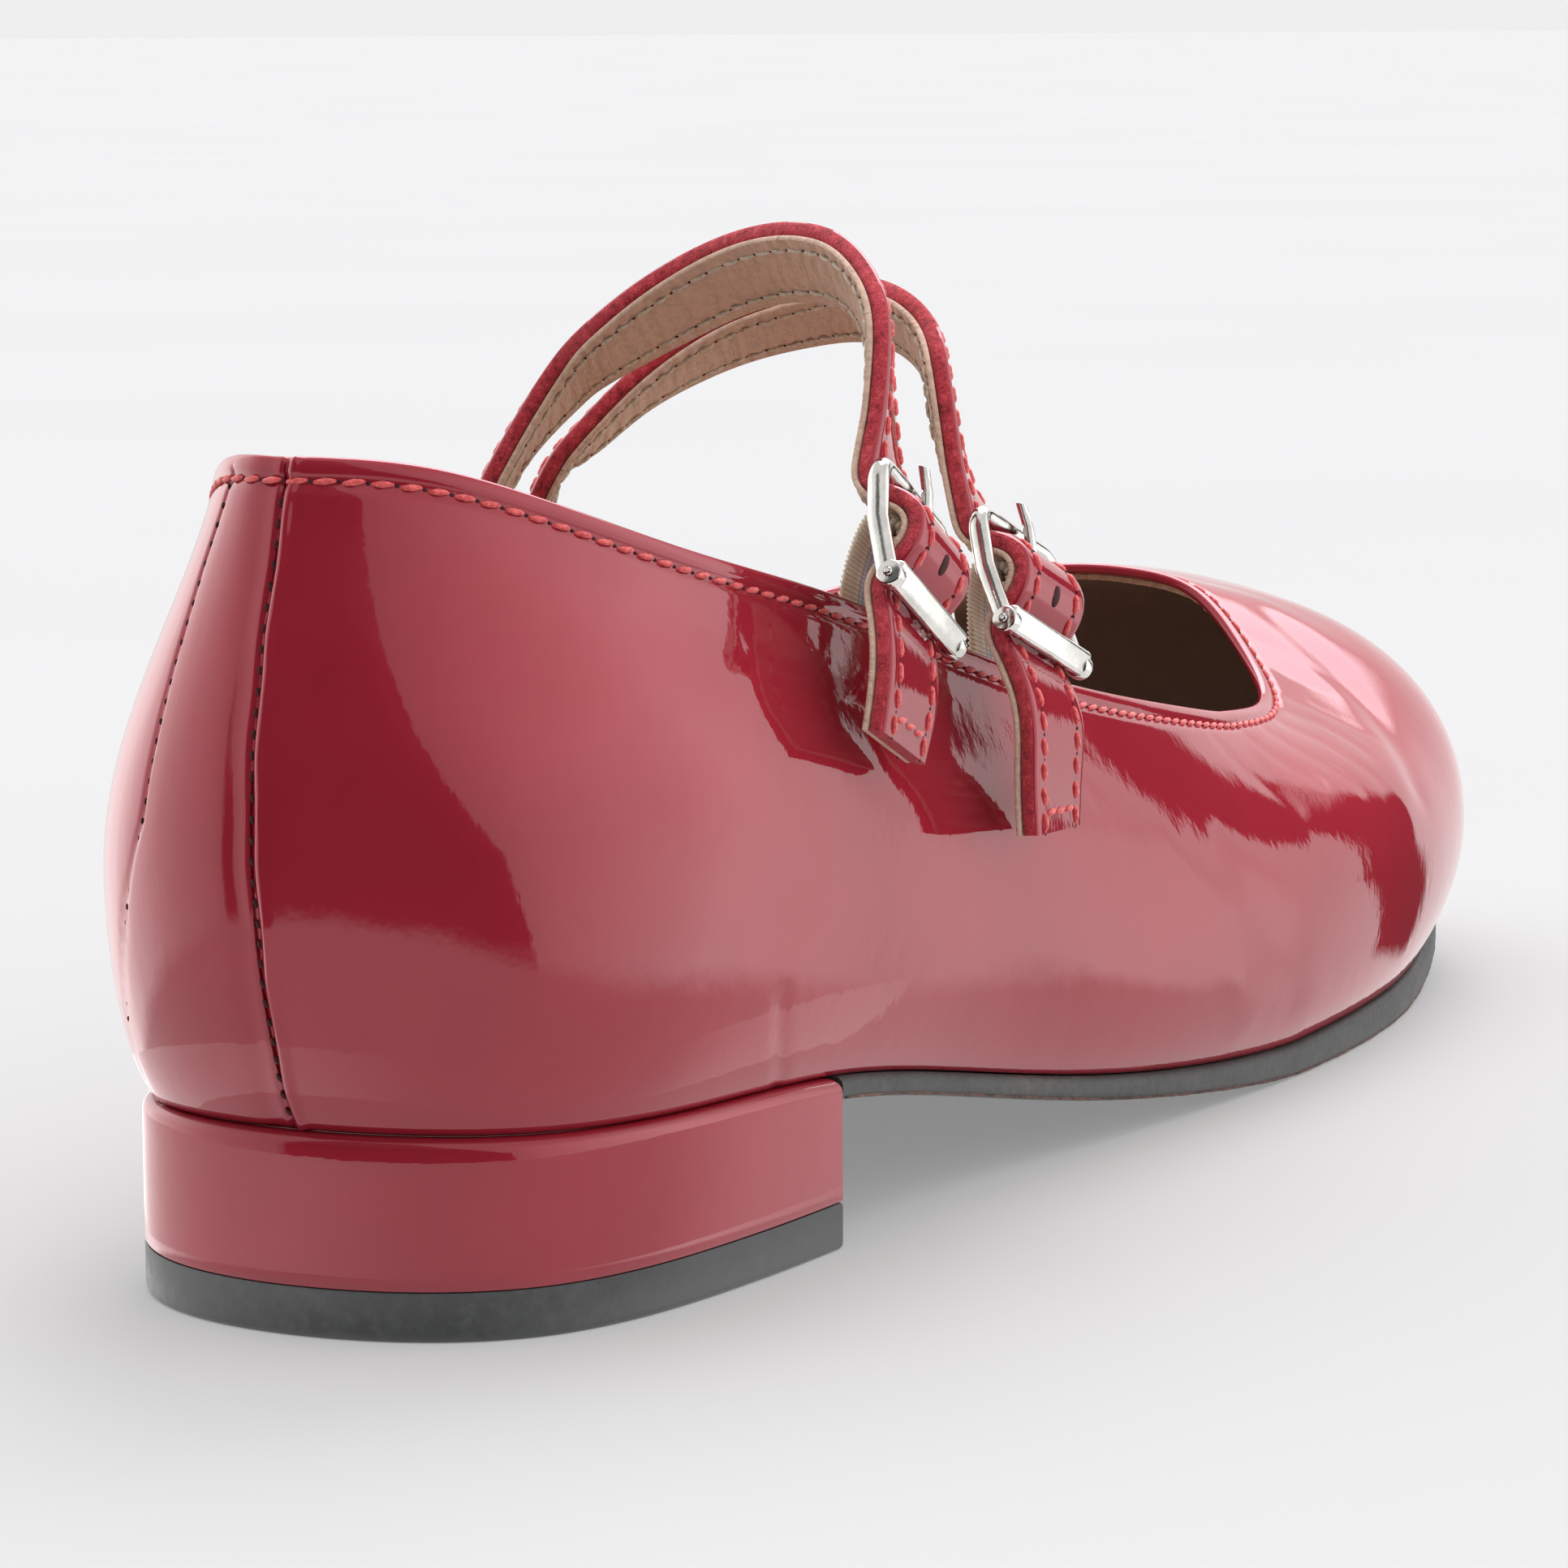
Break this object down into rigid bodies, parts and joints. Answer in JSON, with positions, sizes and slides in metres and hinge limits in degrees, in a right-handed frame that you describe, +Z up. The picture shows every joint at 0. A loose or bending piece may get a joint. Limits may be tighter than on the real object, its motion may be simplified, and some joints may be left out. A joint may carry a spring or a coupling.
{
  "type": "mary jane shoe",
  "caption": "Low-heeled patent leather mary jane shoe for the right foot, with buckled straps over the instep.",
  "frame": {"origin": "centre of the ground face of the heel", "axes": "+X to the toe, +Y to the inner side of the foot, +Z up"},
  "size_m": [0.2584, 0.0867, 0.095],
  "materials": {
    "patent": "high-gloss red patent",
    "rubber": "matt dark grey",
    "lining": "matt tan lining",
    "nickel": "polished nickel plate",
    "elastic": "ribbed beige elastic"
  },
  "bodies": {
    "root": {"upper": "patent", "outsole": "rubber", "insole": "lining", "heel_block": "patent", "heel_top_piece": "rubber", "strap_rear": "patent", "buckle_rear": "nickel", "prong_rear": "nickel", "elastic_rear": "elastic", "strap_front": "patent", "buckle_front": "nickel", "prong_front": "nickel", "elastic_front": "elastic"}
  },
  "joints": []
}
